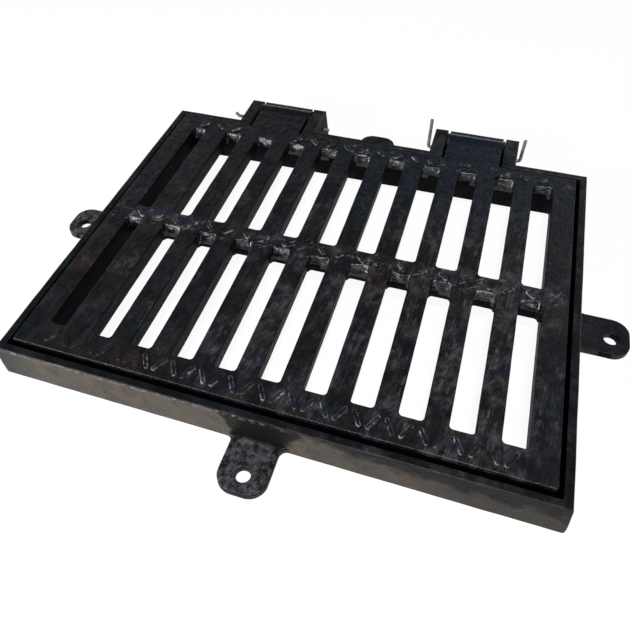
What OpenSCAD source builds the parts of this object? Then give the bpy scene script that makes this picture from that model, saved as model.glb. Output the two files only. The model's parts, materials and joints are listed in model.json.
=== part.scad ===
/* [Frame] */
// Outer width of the frame
frame_w = 500; // [490:1:540]
// Outer depth of the frame
frame_d = 400; // [380:1:440]
// Height of the frame
frame_h = 40; // [38:1:46]
// Thickness of the upright wall
wall_t = 7; // [6:0.5:7]
// Outer corner radius of the frame
frame_corner_r = 3; // [1:0.5:8]
// Outward draft of the frame's left and right faces from top to base
side_draft = 5; // [2:0.5:6]
// Height of the base: seat ledge and fixing lugs
base_t = 7; // [6:0.5:8]
// Width of the seat ledge inside the wall
ledge_w = 20; // [16:0.5:22]

/* [Fixing lugs] */
// Width of a lug
lug_w = 44; // [40:1:48]
// Reach of the left and right lugs beyond the wall's foot
lug_reach_x = 48; // [45:1:53]
// Reach of the front lug beyond the wall
lug_reach_front = 49; // [47:1:54]
// Reach of the rear lug beyond the wall
lug_reach_rear = 59; // [52:1:62]
// Corner radius at a lug's tip
lug_tip_r = 16; // [12:1:19]
// Fillet radius between lug and wall
lug_fillet_r = 7; // [4:0.5:10]
// Distance of the left and right lug holes from the wall's foot
lug_hole_x = 31; // [28:0.5:33]
// Distance of the front lug's hole from the wall
lug_hole_front = 32.5; // [30:0.5:34]
// Distance of the rear lug's hole from the wall
lug_hole_rear = 42; // [34:0.5:43]
// Offset of the front and rear lugs to the right of the middle
lug_shift = 2; // [0:0.5:4]
// Offset of the left and right lugs to the rear of their holes
lug_side_shift = 3; // [0:0.5:4]
// Radius of a lug hole
lug_hole_r = 6.5; // [5:0.25:8]

/* [Grate] */
// Gap between grate and front wall
gap_front = 6.5; // [5:0.5:8]
// Gap between grate and rear wall at the top
gap_rear = 2; // [2:0.1:2.4]
// Gap between grate and left wall
gap_left = 2; // [1.5:0.5:3]
// Gap between grate and right wall
gap_right = 4; // [3:0.5:5]
// Corner radius of the grate
grate_corner_r = 2; // [1.5:0.5:6]
// Depth of the bars below the top face
bar_h = 17.5; // [15:0.5:20]
// Gap left under the border where it sits on the ledge
seat_gap = 0.3; // [0.2:0.1:0.5]
// Number of slots in a row
slot_n = 11; // [9:1:11]
// Distance from slot to slot
slot_pitch = 41; // [39:0.5:41]
// Width of a slot at the top face
slot_w = 20.5; // [19:0.5:23]
// Offset of the slots to the right of the grate's middle
slot_shift = 1; // [0:0.25:1.5]
// Width of the leftmost slots
slot_first_w = 16; // [14:0.5:20]
// Extra offset of the leftmost slots to the left
slot_first_out = 4; // [2:0.5:4]
// Extra slot width on each side at the underside
slot_draft = 1.3; // [0.5:0.1:1.6]
// Extra width of the rightmost slots on their right at the underside
slot_last_draft = 4; // [1:0.5:4.5]
// Corner radius of a slot
slot_r = 3.5; // [3:0.5:6]
// Width of the front border
border_front = 27; // [25:0.5:30]
// Width of the rear border
border_rear = 26; // [25:0.5:28]
// Width of the middle crossbar
crossbar_w = 24; // [22:0.5:28]
// Length of the front slots
slot_front_l = 149.5; // [148:0.5:152]
// Thickness of the border's two skirts
skirt_t = 6.5; // [5:0.5:7]
// Thickness of the border's top between the skirts
border_top_t = 14; // [12:0.5:16]

/* [Hinge] */
// Distance of the left hinge's middle from the frame's middle
hinge_left_x = 118.5; // [115:0.5:124]
// Distance of the right hinge's middle from the frame's middle
hinge_right_x = 123; // [115:0.5:124]
// Distance of the pin axis behind the rear wall
pin_back = 36; // [35:0.5:38]
// Height of the pin axis above the base plane
pin_z = 20; // [19.5:0.5:20.5]
// Radius of the pin wire
pin_r = 2; // [1.6:0.1:2.4]
// Running clearance between pin and tongue bore
pin_clear = 0.06; // [0.03:0.01:0.1]
// Thickness of a hinge ear
ear_t = 15; // [11:0.5:15]
// Outward draft of a hinge ear from top to base
ear_draft = 4; // [2:0.5:6]
// Length of a hinge ear behind the rear wall
ear_l = 50; // [47:0.5:51]
// Radius on the ear's rear top edge
ear_r = 4; // [2:0.5:8]
// Clear space between the two ears of a hinge
ear_space = 69; // [67:1:74]
// Width of the tongue
tongue_w = 63; // [58:0.5:64]
// Thickness of the tongue
tongue_t = 14; // [12:0.5:15]
// Radius on the tongue's rear top edge
tongue_r = 4.5; // [3:0.5:6]
// Radius of the hub around the pin
hub_r = 17; // [15:0.5:18]
// Radius of the knuckle that stands above the tongue
knuckle_r = 12.5; // [10:0.5:14]
// Rise of the knuckle above the tongue
knuckle_rise = 1.5; // [0.5:0.1:1.6]
// Side clearance between hub and ear
hub_clear = 0.7; // [0.4:0.1:1]
// Clearance between the grate's rear face and the wall's edge as it swings
swing_clear = 0.6; // [0.4:0.1:1]
// Clearance under the tongue in the wall's notch
notch_drop = 3; // [2:0.5:5]

/* [Pins] */
// Bend radius of a pin's free end
wire_bend_r = 3.5; // [3:0.5:7]
// Straight reach of a pin beyond the ear before its bend
wire_out = 0.3; // [0.2:0.1:3]
// Length of the right pin's longer upright end
wire_leg_long = 35; // [20:1:40]
// Length of the right pin's shorter upright end
wire_leg_short = 26; // [15:1:35]
// Reach of the left pin's outer end before its bend
wire_reach_left = 14; // [6:0.5:14]
// Reach of the left pin's plain end beyond the ear
wire_reach_plain = 6; // [4:0.5:12]
// Length of the left pin's short turned-up end
wire_stub = 5; // [3:0.5:10]
// Turn of the left pin's short end
wire_stub_turn = 42; // [30:1:60]

/* [Raised marks] */
// Length of a raised mark on the front border
mark_l = 17; // [12:0.5:18]
// Turn of the marks on the front border
mark_turn = 60; // [50:5:75]
// Number of marks for each slot of the front border
mark_n = 3; // [1:1:3]
// Width of a raised mark
mark_w = 4; // [3:0.25:5]
// Height of a raised mark
mark_h = 1.6; // [1:0.1:2]
// Length of a raised mark on the crossbar and rear border
mark_small_l = 12; // [8:0.5:13]

/* [Hidden] */
eps = 0.01;
seam = 0.2;
hinges = [-hinge_left_x, hinge_right_x];
fine = 48;
wall_in_x = frame_w / 2 - wall_t;
wall_in_y = frame_d / 2 - wall_t;
grate_x0 = -wall_in_x + gap_left;
grate_x1 = wall_in_x - gap_right;
grate_y0 = -wall_in_y + gap_front;
grate_y1 = wall_in_y - gap_rear;
grate_cx = (grate_x0 + grate_x1) / 2;
grate_z0 = base_t + seat_gap;
slot_y0 = grate_y0 + border_front;
slot_y1 = slot_y0 + slot_front_l;
slot_y2 = slot_y1 + crossbar_w;
slot_y3 = grate_y1 - border_rear;
slots_x0 = slot_x(0) - slot_first_w / 2 - slot_draft;
slots_x1 = slot_x(slot_n - 1) + slot_w / 2 + slot_last_draft;
pin_y = frame_d / 2 + pin_back;
tongue_y1 = frame_d / 2 + ear_l;
swing_r = sqrt(pow(pin_back + wall_t, 2) + pow(frame_h - pin_z, 2)) + swing_clear;
swing_cut = grate_y1 - (pin_y - swing_r);
ear_out = ear_space / 2 + ear_t + ear_draft * (frame_h - pin_z) / frame_h;
notch_h = tongue_t + notch_drop;

// Middle of slot i along the row, with the leftmost slots moved outwards
function slot_x(i) =
  grate_cx + slot_shift + (i - (slot_n - 1) / 2) * slot_pitch - (i == 0 ? slot_first_out : 0);

// Rounded rectangle from corner to corner
module plate2d(x0, y0, x1, y1, r) {
  translate([x0 + r, y0]) square([x1 - x0 - 2 * r, y1 - y0]);
  translate([x0, y0 + r]) square([x1 - x0, y1 - y0 - 2 * r]);
  for (x = [x0 + r, x1 - r])
    for (y = [y0 + r, y1 - r])
      translate([x, y]) circle(r, $fn = fine);
}

// Lug outline pointing along +Y from the wall face at y = 0, with its hole off its middle by across
module lug2d(reach, hole, across = 0) {
  difference() {
    union() {
      plate2d(-lug_w / 2, -lug_tip_r - wall_t / 2, lug_w / 2, reach, lug_tip_r);
      for (s = [-1, 1])
        difference() {
          translate([s > 0 ? lug_w / 2 - eps : -lug_w / 2 - lug_fillet_r, -wall_t / 2])
            square([lug_fillet_r + eps, wall_t / 2 + lug_fillet_r]);
          translate([s * (lug_w / 2 + lug_fillet_r), lug_fillet_r]) circle(lug_fillet_r, $fn = fine);
        }
    }
    translate([across, hole]) circle(lug_hole_r, $fn = fine);
    translate([-lug_w, -2 * lug_w - wall_t / 2]) square([2 * lug_w, 2 * lug_w]);
  }
}

// Cross-section of an ear, inner face at x = 0, drafted outwards to the base
module ear2d() {
  polygon([[0, 0], [ear_t + ear_draft, 0], [ear_t, frame_h], [0, frame_h]]);
}

// Side shape that rounds the ear's rear top edge
module ear_side2d() {
  translate([-wall_t, 0]) square([ear_l + wall_t, frame_h - ear_r]);
  translate([-wall_t, 0]) square([ear_l + wall_t - ear_r, frame_h]);
  translate([ear_l - ear_r, frame_h - ear_r]) circle(ear_r, $fn = fine);
}

module ear() {
  intersection() {
    translate([0, ear_l, 0]) rotate([90, 0, 0]) linear_extrude(ear_l + wall_t / 2) ear2d();
    translate([-eps, 0, 0]) rotate([90, 0, 90]) linear_extrude(ear_t + ear_draft + 2 * eps) ear_side2d();
  }
}

// The frame's outer form, with drafted left and right faces
module frame_block() {
  foot = frame_w / 2 + side_draft;
  intersection() {
    linear_extrude(frame_h) plate2d(-foot, -frame_d / 2, foot, frame_d / 2, frame_corner_r);
    translate([0, frame_d / 2 + 1, 0])
      rotate([90, 0, 0])
        linear_extrude(frame_d + 2)
          polygon([[-foot, 0], [foot, 0], [frame_w / 2, frame_h], [-frame_w / 2, frame_h]]);
  }
}

module frame() {
  color("dimgray")
  difference() {
    union() {
      difference() {
        frame_block();
        translate([0, 0, base_t])
          linear_extrude(frame_h)
            plate2d(-wall_in_x, -wall_in_y, wall_in_x, wall_in_y, grate_corner_r);
        translate([0, 0, -1])
          linear_extrude(frame_h)
            plate2d(-wall_in_x + ledge_w, -wall_in_y + ledge_w,
                    wall_in_x - ledge_w, wall_in_y - ledge_w, grate_corner_r);
      }
      linear_extrude(base_t) {
        translate([lug_shift, frame_d / 2]) lug2d(lug_reach_rear, lug_hole_rear);
        rotate(180) translate([-lug_shift, frame_d / 2]) lug2d(lug_reach_front, lug_hole_front);
        for (s = [-1, 1])
          rotate(-s * 90)
            translate([-s * lug_side_shift, frame_w / 2 + side_draft])
              lug2d(lug_reach_x, lug_hole_x, s * lug_side_shift);
      }
      for (h = hinges)
        for (s = [0, 1])
          translate([h, frame_d / 2, 0])
            mirror([s, 0, 0])
              translate([ear_space / 2, 0, 0]) ear();
    }
    for (h = hinges) {
      translate([h - ear_space / 2, wall_in_y - 1, frame_h - notch_h])
        cube([ear_space, wall_t + 2, notch_h + 1]);
      translate([h - ear_space, pin_y, pin_z])
        rotate([0, 90, 0]) cylinder(h = 2 * ear_space, r = pin_r, $fn = fine);
    }
  }
}

// One slot: a straight cut with round corners and a cut that widens downwards
module slot(y0, y1, w, right_draft) {
  translate([0, 0, -1])
    linear_extrude(frame_h + 2) plate2d(-w / 2, y0, w / 2, y1, slot_r);
  translate([0, y1 - slot_r, 0])
    rotate([90, 0, 0])
      linear_extrude(y1 - y0 - 2 * slot_r)
        polygon([[-w / 2, frame_h], [w / 2, frame_h],
                 [w / 2 + right_draft, frame_h - bar_h - 1],
                 [-w / 2 - slot_draft, frame_h - bar_h - 1]]);
}

// Side profile of a tongue, cut by the hinge line
module tongue2d() {
  difference() {
    union() {
      translate([grate_y1 - skirt_t, frame_h - tongue_t])
        square([tongue_y1 - tongue_r - grate_y1 + skirt_t, tongue_t]);
      translate([grate_y1, frame_h - tongue_t])
        square([tongue_y1 - grate_y1, tongue_t - tongue_r]);
      translate([tongue_y1 - tongue_r, frame_h - tongue_r]) circle(tongue_r, $fn = fine);
      translate([pin_y, pin_z]) circle(hub_r, $fn = 72);
    }
    translate([pin_y, pin_z]) circle(pin_r + pin_clear, $fn = fine);
  }
}

module tongue() {
  translate([-tongue_w / 2, 0, 0])
    rotate([90, 0, 90]) linear_extrude(tongue_w) tongue2d();
  difference() {
    for (k = [[pin_z, hub_r], [frame_h + knuckle_rise - knuckle_r, knuckle_r]])
      translate([-ear_space / 2 + hub_clear, pin_y, k[0]])
        rotate([0, 90, 0]) cylinder(h = ear_space - 2 * hub_clear, r = k[1], $fn = 72);
    translate([-ear_space, pin_y, pin_z])
      rotate([0, 90, 0]) cylinder(h = 2 * ear_space, r = pin_r + pin_clear, $fn = fine);
  }
}

// A raised mark: a bar with round ends, turned by a
module mark(l, a) {
  rotate(a)
    linear_extrude(mark_h + 1) {
      translate([-(l - mark_w) / 2, -mark_w / 2]) square([l - mark_w, mark_w]);
      for (s = [-1, 1])
        translate([s * (l - mark_w) / 2, 0]) circle(mark_w / 2, $fn = 24);
    }
}

module marks() {
  last = mark_n * (slot_n - 1);
  for (i = [0 : last])
    translate([grate_cx + (i - last / 2) * slot_pitch / mark_n, (grate_y0 + slot_y0) / 2, frame_h - 1])
      mark(mark_l, i % 2 == 0 ? mark_turn : -mark_turn);
  for (i = [0 : 2 * slot_n - 2]) {
    x = grate_cx + (i - slot_n + 1) * slot_pitch / 2;
    a = i % 2 == 0 ? 45 : -45;
    translate([x, (slot_y1 + slot_y2) / 2, frame_h - 1]) mark(mark_small_l, -a);
    if (min([for (h = hinges) abs(x - h)]) > ear_space / 2)
      translate([x, (slot_y3 + grate_y1) / 2, frame_h - 1]) mark(mark_small_l, a);
  }
}

module grate() {
  color("gray") {
    difference() {
      translate([0, 0, grate_z0])
        linear_extrude(frame_h - grate_z0)
          plate2d(grate_x0, grate_y0, grate_x1, grate_y1, grate_corner_r);
      translate([0, 0, -1])
        linear_extrude(frame_h - bar_h + 1)
          plate2d(slots_x0, slot_y0, slots_x1, slot_y3, slot_r);
      for (i = [0 : slot_n - 1], y = [[slot_y0, slot_y1], [slot_y2, slot_y3]])
        translate([slot_x(i), 0, 0])
          slot(y[0], y[1], i == 0 ? slot_first_w : slot_w, i == slot_n - 1 ? slot_last_draft : slot_draft);
      translate([0, 0, -1])
        linear_extrude(frame_h - border_top_t + 1)
          difference() {
            plate2d(grate_x0 + skirt_t, grate_y0 + skirt_t,
                    grate_x1 - skirt_t, grate_y1 - skirt_t - swing_cut, slot_r);
            plate2d(slots_x0 - skirt_t, slot_y0 - skirt_t,
                    slots_x1 + skirt_t, slot_y3 + skirt_t, slot_r);
          }
      translate([grate_x0 - 1, pin_y, pin_z])
        rotate([0, 90, 0]) cylinder(h = grate_x1 - grate_x0 + 2, r = swing_r, $fn = 180);
    }
    for (h = hinges)
      translate([h, 0, 0]) tongue();
    marks();
  }
}

// A quarter or shorter bend that starts along +X at the origin and turns towards +Z
module bend(a) {
  translate([0, 0, wire_bend_r])
    rotate([90, 0, 0])
      rotate([0, 0, -90])
        rotate_extrude(angle = a, $fn = 72)
          translate([wire_bend_r, 0]) circle(pin_r + eps, $fn = 24);
}

// The free end of a pin: a bend by a, then a straight leg
module wire_end(a, leg) {
  bend(a);
  translate([wire_bend_r * sin(a), 0, wire_bend_r * (1 - cos(a))])
    rotate([0, 90 - a, 0])
      translate([0, 0, -seam]) cylinder(h = leg + seam, r = pin_r, $fn = fine);
}

// A pin from x0 to x1 on the hinge line
module rod(x0, x1) {
  translate([x0 - seam, pin_y, pin_z])
    rotate([0, 90, 0]) cylinder(h = x1 - x0 + 2 * seam, r = pin_r, $fn = fine);
}

module hinge_pin_left() {
  x0 = -hinge_left_x - ear_out - wire_reach_left;
  color("silver") {
    rod(x0, -hinge_left_x + ear_out + wire_reach_plain);
    translate([x0, pin_y, pin_z]) mirror([1, 0, 0]) wire_end(wire_stub_turn, wire_stub);
  }
}

module hinge_pin_right() {
  x0 = hinge_right_x - ear_out - wire_out;
  x1 = hinge_right_x + ear_out + wire_out;
  color("silver") {
    rod(x0, x1);
    translate([x0, pin_y, pin_z]) mirror([1, 0, 0]) wire_end(90, wire_leg_long);
    translate([x1, pin_y, pin_z]) wire_end(90, wire_leg_short);
  }
}

frame();
grate();
hinge_pin_left();
hinge_pin_right();
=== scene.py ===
import json
import math

import bmesh
import bpy
from mathutils import Matrix, Vector, noise


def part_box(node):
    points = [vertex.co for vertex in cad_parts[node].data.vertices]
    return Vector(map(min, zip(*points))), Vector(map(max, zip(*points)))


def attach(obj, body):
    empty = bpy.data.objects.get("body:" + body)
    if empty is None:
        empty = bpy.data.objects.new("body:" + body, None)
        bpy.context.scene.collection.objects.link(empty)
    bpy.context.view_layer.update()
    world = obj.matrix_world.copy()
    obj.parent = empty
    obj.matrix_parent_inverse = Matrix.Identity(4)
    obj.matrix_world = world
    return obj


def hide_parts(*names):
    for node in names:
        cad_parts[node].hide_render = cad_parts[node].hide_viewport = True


mm = 0.001

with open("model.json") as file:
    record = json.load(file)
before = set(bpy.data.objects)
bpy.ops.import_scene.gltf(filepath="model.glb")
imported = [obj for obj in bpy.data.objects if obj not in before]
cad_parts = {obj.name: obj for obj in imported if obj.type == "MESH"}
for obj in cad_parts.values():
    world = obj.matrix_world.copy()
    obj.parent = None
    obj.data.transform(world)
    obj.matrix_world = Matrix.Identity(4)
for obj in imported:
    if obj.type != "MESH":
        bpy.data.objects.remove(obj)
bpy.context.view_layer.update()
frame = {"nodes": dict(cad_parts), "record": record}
print("frame loaded:", ", ".join(sorted(frame["nodes"])))

cameraSetup = {
    "place": (127.3, -428.6, 489.1),  # mm, in the part's own frame
    "yaw": -20.468,  # degrees, below nought is to the left of straight ahead
    "pitch": 48.568,  # degrees below the horizon
    "roll": -2.764,
    "focalPixels": 623.3,
    "middlePixels": (293.4, 291.1),
    "imagePixels": 630,
    "sensor": 36,
    "nearest": 0.01,  # m
    "furthest": 50,
}


def makeCamera():
    setup = cameraSetup
    size = setup["imagePixels"]
    data = bpy.data.cameras.new("gratingCamera")
    data.sensor_width = setup["sensor"]
    data.lens = setup["focalPixels"] / size * setup["sensor"]
    data.shift_x = 0.5 - setup["middlePixels"][0] / size
    data.shift_y = setup["middlePixels"][1] / size - 0.5
    data.clip_start = setup["nearest"]
    data.clip_end = setup["furthest"]
    camera = bpy.data.objects.new("gratingCamera", data)
    bpy.context.scene.collection.objects.link(camera)
    yaw = Matrix.Rotation(math.radians(-setup["yaw"]), 4, "Z")
    pitch = Matrix.Rotation(math.radians(90 - setup["pitch"]), 4, "X")
    roll = Matrix.Rotation(math.radians(setup["roll"]), 4, "Z")
    camera.matrix_world = Matrix.Translation(Vector(setup["place"]) * mm) @ yaw @ pitch @ roll
    bpy.context.scene.camera = camera


makeCamera()
print("camera placed")


def emptyTree(material):
    material.use_nodes = True
    tree = material.node_tree
    tree.nodes.clear()
    return tree


def newNode(tree, kind, **values):
    node = tree.nodes.new(kind)
    for name, value in values.items():
        node.inputs[name].default_value = value
    return node


def finishMaterial(tree, shader):
    output = tree.nodes.new("ShaderNodeOutputMaterial")
    tree.links.new(shader.outputs[0], output.inputs["Surface"])


def feed(tree, socket, value):
    # a number or a colour is set on the socket, and another node's output is linked to it
    if isinstance(value, (float, int)):
        socket.default_value = value
    elif isinstance(value, tuple):
        socket.default_value = (*value, 1)
    else:
        tree.links.new(value, socket)


def combine(tree, how, first, second=0.0):
    node = tree.nodes.new("ShaderNodeMath")
    node.operation = how
    feed(tree, node.inputs[0], first)
    feed(tree, node.inputs[1], second)
    return node.outputs[0]


def mixColours(tree, amount, first, second, mode="MIX"):
    node = tree.nodes.new("ShaderNodeMix")
    node.data_type = "RGBA"
    node.blend_type = mode
    feed(tree, node.inputs[0], amount)
    feed(tree, node.inputs[6], first)  # sockets 6 and 7 take colours
    feed(tree, node.inputs[7], second)
    return node.outputs[2]


def spread(tree, source, start, end, low=0.0, high=1.0):
    # source mapped from start..end to low..high and held at the ends
    node = tree.nodes.new("ShaderNodeMapRange")
    for socket, value in zip(("From Min", "From Max", "To Min", "To Max"), (start, end, low, high)):
        node.inputs[socket].default_value = value
    tree.links.new(source, node.inputs["Value"])
    return node.outputs["Result"]


def grey(value):
    return (value, value, value)


def ramp(tree, source, stops):
    node = tree.nodes.new("ShaderNodeValToRGB")
    band = node.color_ramp
    while len(band.elements) < len(stops):
        band.elements.new(0.5)
    for element, (position, colour) in zip(band.elements, stops):
        element.position = position
        element.color = (*colour, 1)
    tree.links.new(source, node.inputs[0])
    return node.outputs["Color"]


def fade(tree, source, start, end, low=0.0, high=1.0):
    # as spread, but in greys
    return ramp(tree, source, [(start, grey(low)), (end, grey(high))])


def axesOf(tree, place):
    node = tree.nodes.new("ShaderNodeSeparateXYZ")
    tree.links.new(place.outputs["Object"], node.inputs[0])
    return node.outputs


def distanceFrom(tree, source, middle):
    return combine(tree, "ABSOLUTE", combine(tree, "SUBTRACT", source, middle))


def swing(tree, source, size):
    # noise brought to either side of nought and made as large as size
    return combine(tree, "MULTIPLY", combine(tree, "SUBTRACT", source, 0.5), size)


def stretchedNoise(tree, place, stretch, turn, detail, roughness):
    # noise whose grains are stretch mm long on each axis and then turned by so many degrees;
    # the textures in the dictionaries below hold these four values
    mapping = tree.nodes.new("ShaderNodeMapping")
    mapping.vector_type = "TEXTURE"
    mapping.inputs["Rotation"].default_value = [math.radians(angle) for angle in turn]
    mapping.inputs["Scale"].default_value = [length * mm for length in stretch]
    tree.links.new(place.outputs["Object"], mapping.inputs["Vector"])
    texture = newNode(tree, "ShaderNodeTexNoise", Scale=1.0, Detail=detail, Roughness=roughness)
    tree.links.new(mapping.outputs[0], texture.inputs["Vector"])
    return texture.outputs["Fac"]


studio = {
    "worldColour": (0.75, 0.86, 1.0),
    "worldStrength": 0.088,
    "floorRadius": 4.0,
    "floorSides": 96,
    "floorDrop": 0.2,  # mm below the part
    "bowlRise": 1.6,
    "bowlSteps": 10,
    "floorGlow": 0.94,  # share of the floor's white that no shadow touches
    "floorPaint": 0.10,
    "bounce": 0.75,  # paleness of the floor as it lights the part
    "key": {"place": (-1.15, -1.5, 0.75), "size": 0.5, "watts": 25, "colour": (1.0, 0.97, 0.92)},
    "spark": {"place": (0.25, -0.75, 2.0), "size": 0.28, "watts": 24, "colour": (1.0, 1.0, 1.0)},
    "rear": {"place": (1.0, 1.9, 1.5), "size": 1.2, "watts": 1.6, "colour": (0.74, 0.87, 1.0)},
}


def makeSky():
    world = bpy.data.worlds.new("studioSky")
    bpy.context.scene.world = world
    world.use_nodes = True
    sky = world.node_tree.nodes["Background"]
    sky.inputs["Color"].default_value = (*studio["worldColour"], 1)
    sky.inputs["Strength"].default_value = studio["worldStrength"]


def addLight(name):
    setup = studio[name]
    data = bpy.data.lights.new(name, "AREA")
    data.shape = "DISK"
    data.size = setup["size"]
    data.energy = setup["watts"]
    data.color = setup["colour"]
    lamp = bpy.data.objects.new(name, data)
    bpy.context.scene.collection.objects.link(lamp)
    lamp.location = setup["place"]
    lamp.rotation_euler = (-Vector(setup["place"])).to_track_quat("-Z", "Y").to_euler()


def floorMaterial():
    # nearly white for the camera and for reflections, and a plain pale floor to all other light
    material = bpy.data.materials.new("paleFloor")
    tree = emptyTree(material)
    path = tree.nodes.new("ShaderNodeLightPath")
    seen = combine(tree, "MAXIMUM", path.outputs["Is Camera Ray"], path.outputs["Is Glossy Ray"])
    seen = combine(tree, "MAXIMUM", seen, path.outputs["Is Transmission Ray"])
    paint = newNode(tree, "ShaderNodeBsdfDiffuse", Color=(*grey(studio["floorPaint"]), 1))
    glow = newNode(tree, "ShaderNodeEmission", Color=(1, 1, 1, 1), Strength=studio["floorGlow"])
    bounce = newNode(tree, "ShaderNodeBsdfDiffuse", Color=(*grey(studio["bounce"]), 1))
    both = tree.nodes.new("ShaderNodeAddShader")
    mix = tree.nodes.new("ShaderNodeMixShader")
    for source, socket in ((paint.outputs[0], both.inputs[0]), (glow.outputs[0], both.inputs[1]),
                           (seen, mix.inputs[0]), (bounce.outputs[0], mix.inputs[1]),
                           (both.outputs[0], mix.inputs[2])):
        tree.links.new(source, socket)
    finishMaterial(tree, mix)
    return material


def makeFloor():
    bm = bmesh.new()
    bmesh.ops.create_circle(bm, cap_ends=True, segments=studio["floorSides"],
                            radius=studio["floorRadius"])
    rim = [edge for edge in bm.edges if edge.is_boundary]
    steps = studio["bowlSteps"]
    for step in range(steps):  # the rim curves up into a low wall
        before = math.pi / 2 * step / steps
        after = math.pi / 2 * (step + 1) / steps
        out = (math.sin(after) - math.sin(before)) * studio["bowlRise"]
        up = (math.cos(before) - math.cos(after)) * studio["bowlRise"]
        ring = bmesh.ops.extrude_edge_only(bm, edges=rim)["geom"]
        verts = [item for item in ring if isinstance(item, bmesh.types.BMVert)]
        rim = [item for item in ring if isinstance(item, bmesh.types.BMEdge)]
        for vert in verts:
            away = Vector((vert.co.x, vert.co.y, 0)).normalized()
            vert.co += away * out + Vector((0, 0, up))
    for face in bm.faces:
        face.smooth = True
    bmesh.ops.translate(bm, verts=bm.verts, vec=(0, 0, -studio["floorDrop"] * mm))
    mesh = bpy.data.meshes.new("studioFloor")
    bm.to_mesh(mesh)
    bm.free()
    mesh.materials.append(floorMaterial())
    floor = bpy.data.objects.new("studioFloor", mesh)
    bpy.context.scene.collection.objects.link(floor)


makeSky()
for lightName in ("key", "spark", "rear"):
    addLight(lightName)
makeFloor()
print("studio lit")

glossyBlack = {
    "dark": (0.0058, 0.0060, 0.0072),
    "worn": (0.098, 0.097, 0.100),
    "tints": {"blue": (0.006, 0.014, 0.023), "violet": (0.012, 0.012, 0.024),
              "rust": (0.022, 0.0115, 0.0125), "green": (0.011, 0.013, 0.009)},
    "tinted": 0.40,  # noise level from which the tints show
    "streak": (2.0, 24, 12),  # mm, size of a brush mark on each axis
    "turn": (0, 0, -5),  # degrees, lean of the brush marks
    "cover": (0.47, 0.68),  # noise levels from which a brush mark starts and is full
    "streaks": 0.9,  # share of worn colour in a brush mark
    "wiped": 1.0,  # and in the slanted wiped strokes
    "patches": (0.46, 0.64),  # noise levels from which a brushed patch starts and is full
    "faint": 0.12,  # share of the marks that is left between the patches
    "leftward": 0.07,  # how far the patches shrink towards the left
    "frontward": 0.07,  # and on the front border
    "rightward": 0.17,  # how far they grow over the bars towards the right, a painted sheen there
    "rough": (0.20, 0.46),
    "specular": 0.42,
    "lumps": 0.9,  # mm, depth of the relief
    "brush": 0.25,
    "grain": 0.2,
}
dullWalls = dict(glossyBlack, dark=(0.003, 0.003, 0.0033), worn=(0.010, 0.010, 0.011),
                 tints={"blue": (0.003, 0.006, 0.010), "violet": (0.005, 0.0045, 0.009),
                        "rust": (0.007, 0.0045, 0.005), "green": (0.004, 0.005, 0.005)},
                 streak=(30, 30, 4), rough=(0.45, 0.7), specular=0.045, lumps=0.5)
deepWalls = dict(dullWalls, rough=(0.55, 0.8), specular=0.015)  # in the leftmost slots
evenCoat = dict(glossyBlack, turn=(0, 0, 0), leftward=0.0, frontward=0.0, rightward=0.0)
# painted glints on the marks' edges, bright in patches
markGlintPaint = dict(evenCoat, dark=(0.012, 0.012, 0.014), worn=(0.52, 0.52, 0.57),
                 streak=(7, 7, 7), cover=(0.40, 0.57), streaks=1.0, wiped=0.3, faint=0.5,
                 rough=(0.15, 0.35), grain=0.05)
# painted highlights on the rounded rear ends of the slots
scoopGlintPaint = dict(markGlintPaint, worn=(0.36, 0.37, 0.39), streak=(7, 4, 3), cover=(0.44, 0.62),
                  faint=0.7, lumps=1.4)
greyWall = dict(evenCoat, dark=(0.072, 0.067, 0.060), worn=(0.140, 0.132, 0.120),
                tints={"blue": (0.078, 0.088, 0.080), "violet": (0.104, 0.082, 0.084),
                       "rust": (0.125, 0.092, 0.078), "green": (0.096, 0.100, 0.070)},
                tinted=0.30, streak=(14, 14, 6), streaks=0.8, wiped=0.25, faint=0.8,
                rough=(0.45, 0.65), specular=0.10, lumps=0.5, brush=0.12, grain=0.4)
rimPaint = dict(glossyBlack, dark=(0.0045, 0.0045, 0.0050), worn=(0.052, 0.053, 0.056),
                tints=dict(glossyBlack["tints"], rust=(0.010, 0.008, 0.010)),
                streak=(16, 16, 8), rough=(0.24, 0.5), specular=0.26)

coat = {  # what all the paints above share
    "blotch": ((26, 34, 30), (0, 0, 25), 3.0, 0.6),  # brushed patches
    "mottle": ((6, 7, 6), (0, 0, 0), 4.0, 0.65),  # gaps in the brush marks
    "tint": ((48, 55, 50), (0, 0, 40), 3.0, 0.55),
    "grain": ((1.2, 1.2, 1.2), (0, 0, 0), 3.0, 0.7),
    "strokes": ((1.3, 10, 5), (0, 0, -30), 2.0, 0.6),  # thin wiped strokes
    "smear": ((11, 16, 12), (0, 0, -30), 3.0, 0.6),  # patches that hold the strokes
    "lumps": ((8, 9, 8), (0, 0, 0), 3.0, 0.55),
    "brushDetail": 3.0,
    "brushRoughness": 0.6,
    "tintBands": ((0.26, "blue"), (0.38, "dark"), (0.44, "violet"), (0.51, "green"),
                  (0.57, "rust"), (0.63, "dark"), (0.74, "violet")),
    "tintSoft": 0.16,
    "mottleLevels": (0.42, 0.60),
    "strokeLevels": (0.40, 0.68),
    "strokesBetween": 0.25,  # share of worn colour between the strokes of a smear
    "smearLevels": (0.47, 0.67),
    "grainLevels": (0.30, 0.70),
    "grainShades": (0.55, 1.45),
    "brushGloss": (0.35, 0.70),  # noise levels of the lowest and the highest roughness
    "mottleGloss": (0.35, 0.68),
    "barsLeft": -140,  # mm along X, where the patches start to grow and are largest
    "barsRight": 190,
    "borderLeft": 205,  # mm along X, where they shrink again on the right border
    "borderRight": 225,
    "borderRear": -150,  # mm along Y, where they shrink on the front border
    "borderFront": -165,
}


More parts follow.
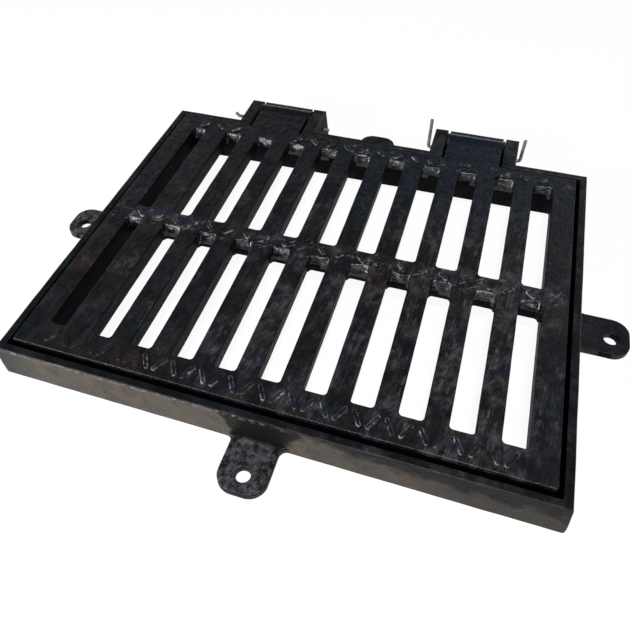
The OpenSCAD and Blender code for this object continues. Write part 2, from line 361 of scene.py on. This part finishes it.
def brushedPatchesAndSheen(tree, place, look, blotch):
    # the brushed patches are real wear; their growth over the bars towards the right is painted
    # sheen
    axes = axesOf(tree, place)
    bars = spread(tree, axes[0], coat["barsLeft"] * mm, coat["barsRight"] * mm,
                  -look["leftward"], look["rightward"])
    right = spread(tree, axes[0], coat["borderLeft"] * mm, coat["borderRight"] * mm,
                   0.0, look["rightward"])
    front = spread(tree, axes[1], coat["borderRear"] * mm, coat["borderFront"] * mm,
                   0.0, look["frontward"])
    level = combine(tree, "ADD", blotch, bars)
    level = combine(tree, "SUBTRACT", level, right)
    level = combine(tree, "SUBTRACT", level, front)
    return fade(tree, level, *look["patches"], look["faint"])


def brushedPaint(tree, place, look):
    # colour and roughness of a coat, then the two of its textures that the relief uses too
    def texture(name):
        return stretchedNoise(tree, place, *coat[name])

    def multiply(first, second):
        return mixColours(tree, 1.0, first, second, "MULTIPLY")

    brush = stretchedNoise(tree, place, look["streak"], look["turn"],
                           coat["brushDetail"], coat["brushRoughness"])
    blotch, mottle, grain = texture("blotch"), texture("mottle"), texture("grain")

    colours = dict(look["tints"], dark=look["dark"])
    bands = [(level, colours[name]) for level, name in coat["tintBands"]]
    tint = ramp(tree, texture("tint"), bands)
    shown = fade(tree, blotch, look["tinted"], look["tinted"] + coat["tintSoft"])
    base = mixColours(tree, shown, look["dark"], tint)

    marks = fade(tree, brush, *look["cover"], 0.0, look["streaks"])
    marks = multiply(marks, fade(tree, mottle, *coat["mottleLevels"]))
    wiped = fade(tree, texture("strokes"), *coat["strokeLevels"],
                 coat["strokesBetween"], look["wiped"])
    wiped = multiply(wiped, fade(tree, texture("smear"), *coat["smearLevels"]))
    worn = mixColours(tree, 1.0, marks, wiped, "LIGHTEN")
    worn = multiply(worn, brushedPatchesAndSheen(tree, place, look, blotch))
    colour = mixColours(tree, worn, base, look["worn"])
    colour = multiply(colour, fade(tree, grain, *coat["grainLevels"], *coat["grainShades"]))

    sheen = mixColours(tree, 0.5, fade(tree, brush, *coat["brushGloss"], *look["rough"]),
                       fade(tree, mottle, *coat["mottleGloss"], *look["rough"]))
    return colour, sheen, brush, grain


def relief(tree, place, look, brush, grain):
    lumps = stretchedNoise(tree, place, *coat["lumps"])
    normal = None
    for height, depth in ((lumps, look["lumps"]), (brush, look["brush"]), (grain, look["grain"])):
        bump = newNode(tree, "ShaderNodeBump", Strength=1.0, Distance=depth * mm)
        tree.links.new(height, bump.inputs["Height"])
        if normal:
            tree.links.new(normal, bump.inputs["Normal"])
        normal = bump.outputs[0]
    return normal


def castPaint(name, look, overlay=None):
    material = bpy.data.materials.new(name)
    tree = emptyTree(material)
    place = tree.nodes.new("ShaderNodeTexCoord")
    colour, sheen, brush, grain = brushedPaint(tree, place, look)
    if overlay:
        colour = overlay(tree, place, colour)
    shader = tree.nodes.new("ShaderNodeBsdfPrincipled")
    shader.inputs["Specular IOR Level"].default_value = look["specular"]
    tree.links.new(colour, shader.inputs["Base Color"])
    tree.links.new(sheen, shader.inputs["Roughness"])
    tree.links.new(relief(tree, place, look, brush, grain), shader.inputs["Normal"])
    finishMaterial(tree, shader)
    return material


# painted shade, painted bluish sheen and painted glints on the grate's top
topShadeAndGlints = {
    # painted shade towards the rear
    "rearShade": (0.0045, 0.0045, 0.0068),
    "rearStart": 40,  # mm along Y
    "rearEnd": 190,
    "rearShare": 0.85,
    # painted bluish sheen
    "blueSheen": (0.0062, 0.0108, 0.0185),
    "blueMiddle": 90,  # mm along X
    "blueReach": 160,
    # painted glints
    "colour": (0.17, 0.17, 0.185),
    "bands": (  # mm, middle and half width along Y, then middle and reach along X
        (2, 16, 0, 1000),  # crossbar
        (178, 12, 30, 150),  # rear border
    ),
    "widthCore": 0.6,  # share of a band's half width where the painted glints are full
    "reachCore": 0.5,  # and of its reach
    "faint": 0.35,  # share of the painted glints that is left beyond the reach
    "patch": ((14, 10, 10), (0, 0, 20), 2.0, 0.5),
    "patchLevels": (0.50, 0.62),
    "crease": ((6, 2.6, 3), (0, 0, 35), 2.0, 0.6),
    "creaseLevels": (0.52, 0.66),
}


def shadeSheenAndGlintBands(tree, place, colour):
    # painted shade darkens the top towards the rear, a painted bluish sheen shows there between the
    # tongues and on the right one, and painted glints brighten it in patches on the crossbar and
    # the rear border
    axes = axesOf(tree, place)
    core = topShadeAndGlints["reachCore"]
    rearShadeShare = spread(tree, axes[1], topShadeAndGlints["rearStart"] * mm, topShadeAndGlints["rearEnd"] * mm,
                      0.0, topShadeAndGlints["rearShare"])
    # painted shade, darker towards the rear
    colour = mixColours(tree, rearShadeShare, colour, topShadeAndGlints["rearShade"])
    aside = distanceFrom(tree, axes[0], topShadeAndGlints["blueMiddle"] * mm)
    blueReach = topShadeAndGlints["blueReach"] * mm
    blue = combine(tree, "MULTIPLY", rearShadeShare, spread(tree, aside, blueReach, blueReach * core))
    # painted bluish sheen on the rear
    colour = mixColours(tree, blue, colour, topShadeAndGlints["blueSheen"])
    patches = spread(tree, stretchedNoise(tree, place, *topShadeAndGlints["patch"]), *topShadeAndGlints["patchLevels"])
    creases = spread(tree, stretchedNoise(tree, place, *topShadeAndGlints["crease"]), *topShadeAndGlints["creaseLevels"])
    amount = combine(tree, "MULTIPLY", patches, creases)
    inside = None
    for lengths in topShadeAndGlints["bands"]:
        middle, half, along, reach = [length * mm for length in lengths]
        away = distanceFrom(tree, axes[1], middle)
        aside = distanceFrom(tree, axes[0], along)
        band = combine(tree, "MULTIPLY", spread(tree, away, half, half * topShadeAndGlints["widthCore"]),
                       spread(tree, aside, reach, reach * core, topShadeAndGlints["faint"]))
        inside = combine(tree, "MAXIMUM", inside, band) if inside else band
    # painted glints in patches
    return mixColours(tree, combine(tree, "MULTIPLY", amount, inside), colour, topShadeAndGlints["colour"])


scoopGlintFade = {
    # painted shade low on the slots' rear ends
    "black": (0.006, 0.006, 0.008),
    "full": 37.5,  # mm above the base, down to which a slot's rear end has the painted highlight in full
    "none": 31.5,  # and below which it is painted near-black as shade
    "cover": 0.92,
    "ragged": 20,  # mm
    "texture": ((7, 7, 7), (0, 0, 0), 2.0, 0.5),
}


def glintFadedDown(tree, place, colour):
    # the painted highlight fades from the slot's edge downwards into painted near-black shade
    ragged = stretchedNoise(tree, place, *scoopGlintFade["texture"])
    height = combine(tree, "ADD", axesOf(tree, place)[2],
                     swing(tree, ragged, scoopGlintFade["ragged"] * mm))
    gone = spread(tree, height, scoopGlintFade["none"] * mm, scoopGlintFade["full"] * mm,
                  scoopGlintFade["cover"], 0.0)
    return mixColours(tree, gone, colour, scoopGlintFade["black"])


paintLine = {
    "black": (0.006, 0.006, 0.0065),
    "left": 44,  # mm above the base, down to which the black reaches at the left
    "right": 22,
    "start": -60,  # mm along the wall, where it begins to come down
    "end": 170,
    "ragged": 44,  # mm
    "texture": ((18, 18, 12), (0, 0, 0), 4.0, 0.6),
    "soft": 5,  # mm above and below the line
    "cover": 0.97,
    "patchPlace": 4,  # mm along the wall, middle of the dark patch above the front lug
    "patchReach": 36,
    "patchFull": 20,
    "patchDrop": 46,
    "shade": (0.030, 0.026, 0.021),  # painted shade, darker towards the right
    "dimStart": -20,
    "dimEnd": 260,
    "dim": 0.85,
    "cornerShade": (0.034, 0.037, 0.042),  # painted shade, darker at the left corner
    "cornerStart": -246,
    "cornerEnd": -205,
    "corner": 0.7,
    # painted glints below the rim's edge
    "chipGlints": (0.34, 0.33, 0.32),
    "glintTexture": ((6, 4, 2.5), (0, 0, 0), 3.0, 0.6),
    "glintLevels": (0.51, 0.60),
    "glintLow": 34,  # mm above the base, where the painted glints below the rim start and are full
    "glintFull": 38,
    "glintsFull": -20,  # mm along the wall, where they start to thin out and end
    "glintsEnd": 60,
}


def overrunBlackShadeAndGlints(tree, place, colour):
    # the rim's black runs down over the grey wall, further at the right and above the front lug;
    # the wall also gets painted shade and painted glints
    line = paintLine
    axes = axesOf(tree, place)

    def alongWall(start, end, low=0.0, high=1.0):
        return spread(tree, axes[0], line[start] * mm, line[end] * mm, low, high)

    # painted shade, darker at the left corner and towards the right
    colour = mixColours(tree, alongWall("cornerEnd", "cornerStart", 0.0, line["corner"]),
                        colour, line["cornerShade"])
    colour = mixColours(tree, alongWall("dimStart", "dimEnd", 0.0, line["dim"]),
                        colour, line["shade"])

    level = alongWall("start", "end", line["left"] * mm, line["right"] * mm)
    near = distanceFrom(tree, axes[0], line["patchPlace"] * mm)
    drop = spread(tree, near, line["patchReach"] * mm, line["patchFull"] * mm,
                  0.0, line["patchDrop"] * mm)
    level = combine(tree, "SUBTRACT", level, drop)
    ragged = stretchedNoise(tree, place, *line["texture"])
    level = combine(tree, "ADD", level, swing(tree, ragged, line["ragged"] * mm))
    above = combine(tree, "SUBTRACT", axes[2], level)
    black = spread(tree, above, -line["soft"] * mm, line["soft"] * mm, 0.0, line["cover"])
    colour = mixColours(tree, black, colour, line["black"])

    # painted glints in a ragged line just below the rim's edge
    chipGlints = spread(tree, stretchedNoise(tree, place, *line["glintTexture"]), *line["glintLevels"])
    high = spread(tree, axes[2], line["glintLow"] * mm, line["glintFull"] * mm)
    chipGlints = combine(tree, "MULTIPLY", chipGlints, high)
    chipGlints = combine(tree, "MULTIPLY", chipGlints, alongWall("glintsEnd", "glintsFull"))
    return mixColours(tree, chipGlints, colour, line["chipGlints"])


lugTones = {
    "coats": (  # colour, axis, and the mm along it from which the lug's colour starts and is full
        ((0.094, 0.090, 0.102), 1, -200, -204),  # front lug
        ((0.106, 0.108, 0.118), 0, -252, -256),  # left lug
        ((0.026, 0.014, 0.023), 0, 252, 256),  # right lug
    ),
    "flecks": ((6, 6, 6), (0, 0, 0), 5.0, 0.7),
    "fleckLevels": (0.42, 0.62),
}


def lugColours(tree, place, colour):
    # each lug gets its own colour in flecks, pale grey on the front and left lugs and dark purple
    # on the right one; the rest keeps the rim's paint
    axes = axesOf(tree, place)
    flecks = stretchedNoise(tree, place, *lugTones["flecks"])
    flecks = spread(tree, flecks, *lugTones["fleckLevels"])
    for shade, axis, start, end in lugTones["coats"]:
        here = combine(tree, "MULTIPLY", spread(tree, axes[axis], start * mm, end * mm), flecks)
        colour = mixColours(tree, here, colour, shade)
    return colour


paints = {
    "top": castPaint("glossyBlackPaint", glossyBlack, shadeSheenAndGlintBands),
    "walls": castPaint("dullSlotWalls", dullWalls),
    "deep": castPaint("deepSlotWalls", deepWalls),
    # painted glints on the marks' edges
    "marks": castPaint("glintedMarkEdges", markGlintPaint),
    # painted highlights on the slots' rear ends
    "scoops": castPaint("glintedSlotEnds", scoopGlintPaint, glintFadedDown),
    "outer": castPaint("greyOuterWall", greyWall, overrunBlackShadeAndGlints),
    "rim": castPaint("rimPaint", rimPaint, lugColours),
}
print("paints mixed")

castIron = {
    "mergeGap": 0.002,  # mm, closer corners become one
    "flatAngle": 0.6,  # degrees, flatter neighbours become one face
    "roundAngle": 35,  # degrees, sharper edges are rounded
    "shadeAngle": 42,  # degrees, sharper edges stay sharp in the shading
    "levelGap": 0.05,  # mm, how near a height an edge has to be to count as on it
    "cutStep": 6.0,  # mm between the cuts that let a casting waver
    "cutShift": 0.37,  # share of a step that all the cuts are moved by
    "cutGap": 0.02,
    "noiseSeed": 1,
    "waver": 0.20,
    "waverScale": 24.0,
    "ripple": 0.09,
    "rippleScale": 7.0,
}
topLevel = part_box("frame")[1].z


def mergedCopy(nodeName):
    bm = bmesh.new()
    bm.from_mesh(frame["nodes"][nodeName].data)
    bmesh.ops.remove_doubles(bm, verts=bm.verts, dist=castIron["mergeGap"] * mm)
    bmesh.ops.dissolve_limit(bm, angle_limit=math.radians(castIron["flatAngle"]),
                             verts=bm.verts, edges=bm.edges)
    return bm


def sharpEdges(bm, test):
    limit = math.radians(castIron["roundAngle"])
    return [edge for edge in bm.edges
            if len(edge.link_faces) == 2 and edge.calc_face_angle() > limit and edge.is_convex
            and all(test(vert.co) for vert in edge.verts)]


def edgesAt(bm, height):
    return sharpEdges(bm, lambda co: abs(co.z - height) < castIron["levelGap"] * mm)


def roundEdges(bm, edges, width, segments):
    bmesh.ops.bevel(bm, geom=edges, offset=width * mm, offset_type="OFFSET", segments=segments,
                    profile=0.5, affect="EDGES", material=-1, clamp_overlap=False, loop_slide=True)


def cutAt(bm, axis, position):
    point, normal = Vector((0, 0, 0)), Vector((0, 0, 0))
    point[axis] = position
    normal[axis] = 1
    bmesh.ops.bisect_plane(bm, geom=bm.verts[:] + bm.edges[:] + bm.faces[:],
                           plane_co=point, plane_no=normal, dist=castIron["cutGap"] * mm)


def cutAcross(bm, low, high):
    for axis in (0, 1):
        length = high[axis] - low[axis]
        count = max(1, round(length / (castIron["cutStep"] * mm)))
        for i in range(1, count):
            cutAt(bm, axis, low[axis] + length * (i + castIron["cutShift"]) / count)


def waver(bm, low, high, moveBy):
    iron = castIron
    big, small = iron["waverScale"] * mm, iron["rippleScale"] * mm
    noise.seed_set(iron["noiseSeed"])  # without it the noise starts from the clock
    for vert in bm.verts:
        shift = noise.noise_vector(vert.co / big + Vector((moveBy, 0, 0))) * iron["waver"] * mm
        shift += noise.noise_vector(vert.co / small + Vector((0, moveBy, 0))) * iron["ripple"] * mm
        moved = vert.co + shift
        vert.co = Vector([min(max(moved[i], low[i]), high[i]) for i in range(3)])


def finishCasting(bm, name, body, nodeName, coats, choose):
    # choose gives the paint of each face, which is one of coats
    bmesh.ops.recalc_face_normals(bm, faces=bm.faces)
    for face in bm.faces:
        face.smooth = True
        face.material_index = coats.index(choose(face))
    mesh = bpy.data.meshes.new(name)
    bm.to_mesh(mesh)
    bm.free()
    mesh.set_sharp_from_angle(angle=math.radians(castIron["shadeAngle"]))
    for coatName in coats:
        mesh.materials.append(paints[coatName])
    piece = bpy.data.objects.new(name, mesh)
    bpy.context.scene.collection.objects.link(piece)
    weigh = piece.modifiers.new("evenShading", "WEIGHTED_NORMAL")
    weigh.keep_sharp = True
    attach(piece, body)
    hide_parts(nodeName)
    print(name, "has", sum(len(face.vertices) - 2 for face in mesh.polygons), "triangles")


grateCasting = {
    "topRound": 1.0,  # mm, worn rounding of the upper edges
    "markRound": 0.8,
    "levels": (37.6, 35.6, 33.4, 31, 27),  # mm above the base, cuts down the slot walls
    "noiseShift": 3.1,  # moves the noise, so that the two castings differ
    "slotSide": 3,  # mm beside a slot's clear part
    "endReach": 4.5,  # mm behind it, up to which the slot's end leans back
    "scoop": 5.0,  # mm that the end leans back at the top
    "scoopUneven": 0.6,
    "scoopGrain": 9,
    "scoopDepth": 15.0,
    "glintDepth": 11.0,  # mm below the top, down to which the end has the painted highlight
    "glintReach": (-1, 9),  # mm behind the slot's clear part
    "slotsReach": 224,  # mm from the middle to beyond the outermost slots
    "wallDepth": 5,  # mm below the top, from which everything steep is a slot wall
    "deepLeft": -180,  # mm, left of it lie the leftmost slots
    "markFoot": 0.1,  # mm above the top, where a mark begins
    "markEdge": 1,  # mm above the top, where an edge is one of a mark's upper ones
    "marksEnd": 200,  # mm, beyond it what stands up is a hinge knuckle
    "noGlintLeft": -118,  # mm, the front marks left of it get no painted glints on their edges
    "noGlintFront": -150,
    "flat": 0.95,  # part of a face's normal along an axis
    "steep": 0.8,
    "sideways": 0.3,
}

# the clear part of each slot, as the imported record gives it
slotBoxes = [opening["box_m"] for opening in frame["record"]["physics"]["openings"]
             if opening["name"].startswith("slot_")]


def besideSlot(co, low, high):
    side = grateCasting["slotSide"] * mm
    return low[0] - side < co.x < high[0] + side


def inScoop(co):
    near, far = [reach * mm for reach in grateCasting["glintReach"]]
    return any(near < co.y - high[1] < far and besideSlot(co, low, high) for low, high in slotBoxes)


def scoopSlotEnds(bm):
    # the rear end of each slot leans back towards the top, each by its own amount
    own = grateCasting
    for low, high in slotBoxes:
        for vert in bm.verts:
            past = vert.co.y - high[1]
            if not (0 < past < own["endReach"] * mm and besideSlot(vert.co, low, high)):
                continue
            share = 1 - (topLevel - vert.co.z) / (own["scoopDepth"] * mm)
            if share > 0:
                uneven = 1 + own["scoopUneven"] * noise.noise(vert.co / (own["scoopGrain"] * mm))
                vert.co.y += own["scoop"] * mm * uneven * share ** 2


def makeGrate():
    own = grateCasting
    low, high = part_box("grate")
    bm = mergedCopy("grate")
    markEdges = sharpEdges(bm, lambda co: co.z > topLevel + own["markEdge"] * mm)
    roundEdges(bm, markEdges, own["markRound"], 2)
    roundEdges(bm, edgesAt(bm, topLevel), own["topRound"], 3)
    for level in own["levels"]:
        cutAt(bm, 2, level * mm)
    cutAcross(bm, low, high)
    scoopSlotEnds(bm)
    waver(bm, low, high, own["noiseShift"])

    def choose(face):
        # the marks' flat tops keep the black of the casting's top, and only their edges get painted
        # glints
        middle, normal = face.calc_center_median(), face.normal
        if middle.z > topLevel + own["markFoot"] * mm and middle.y < own["marksEnd"] * mm:
            # the left front marks get no painted glints
            unglinted = middle.x < own["noGlintLeft"] * mm and middle.y < own["noGlintFront"] * mm
            return "top" if unglinted or abs(normal.z) > own["flat"] else "marks"
        # slot ends that face the front, near the top, get the painted highlight
        worn = normal.y < -own["sideways"] and middle.z > topLevel - own["glintDepth"] * mm
        if worn and inScoop(middle):
            return "scoops"
        longEdge = abs(normal.x) > own["sideways"] and abs(middle.x) < own["slotsReach"] * mm
        inside = middle.z < topLevel - own["wallDepth"] * mm and abs(normal.z) < own["steep"]
        if longEdge or inside:
            return "deep" if middle.x < own["deepLeft"] * mm else "walls"
        return "top"

    finishCasting(bm, "grate_casting", "grate", "grate",
                  ["top", "walls", "marks", "scoops", "deep"], choose)


frameCasting = {
    "rimRound": 1.0,  # mm, worn rounding of the upper edges
    "lugRound": 1.2,
    "lugTop": 7,  # mm above the base
    "noiseShift": 7.7,
    "wallMiddle": (242.5, 192.5),  # mm from the part's middle to that of the walls
    "wallRear": 201,  # mm, beyond it stand the hinge ears
    "flat": 0.7,  # part of a face's normal along Z
}


def makeFrame():
    own = frameCasting
    low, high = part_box("frame")
    bm = mergedCopy("frame")
    roundEdges(bm, edgesAt(bm, topLevel), own["rimRound"], 3)
    roundEdges(bm, edgesAt(bm, own["lugTop"] * mm), own["lugRound"], 2)
    cutAcross(bm, low, high)
    waver(bm, low, high, own["noiseShift"])

    def choose(face):
        # rim for what faces up or down, outer for the outside, walls for the inside and the ears
        middle, normal = face.calc_center_median(), face.normal
        if abs(normal.z) > own["flat"] or middle.z > topLevel - own["rimRound"] * mm:
            return "rim"
        if middle.y > own["wallRear"] * mm:
            return "walls"
        across = abs(middle.x) - own["wallMiddle"][0] * mm
        along = abs(middle.y) - own["wallMiddle"][1] * mm
        outward = normal.x * middle.x if across > along else normal.y * middle.y
        return "outer" if outward > 0 else "walls"

    finishCasting(bm, "frame_casting", "frame", "frame",
                  ["rim", "outer", "walls"], choose)


makeGrate()
makeFrame()
print("castings made")

wireLook = {
    "steel": (0.44, 0.45, 0.47),
    "dirt": (0.20, 0.20, 0.20),
    "rust": (0.20, 0.12, 0.085),
    "metallic": 0.35,
    "rough": (0.25, 0.6),
    "spots": ((6, 3, 3), (0, 0, 0), 3.0, 0.6),
    "dirtLevels": (0.4, 0.65),
    "roughLevels": (0.35, 0.7),
    "patches": ((22, 20, 20), (0, 0, 0), 2.0, 0.5),
    "rustLevels": (0.48, 0.62),
    "bump": 0.4,
    "bumpDepth": 0.2,  # mm
}


def wireMaterial():
    look = wireLook
    material = bpy.data.materials.new("rustyWire")
    tree = emptyTree(material)
    place = tree.nodes.new("ShaderNodeTexCoord")
    spots = stretchedNoise(tree, place, *look["spots"])
    patches = stretchedNoise(tree, place, *look["patches"])
    steel = mixColours(tree, fade(tree, spots, *look["dirtLevels"]), look["steel"], look["dirt"])
    colour = mixColours(tree, fade(tree, patches, *look["rustLevels"]), steel, look["rust"])
    shader = tree.nodes.new("ShaderNodeBsdfPrincipled")
    shader.inputs["Metallic"].default_value = look["metallic"]
    tree.links.new(colour, shader.inputs["Base Color"])
    sheen = fade(tree, spots, *look["roughLevels"], *look["rough"])
    tree.links.new(sheen, shader.inputs["Roughness"])
    bump = newNode(tree, "ShaderNodeBump", Strength=look["bump"], Distance=look["bumpDepth"] * mm)
    tree.links.new(spots, bump.inputs["Height"])
    tree.links.new(bump.outputs[0], shader.inputs["Normal"])
    finishMaterial(tree, shader)
    return material


for pinName in ("hinge_pin_left", "hinge_pin_right"):
    pin = frame["nodes"][pinName]
    pin.data.materials.clear()
    pin.data.materials.append(wireMaterial())
print("pins finished")

bpy.context.scene.view_settings.view_transform = "Standard"
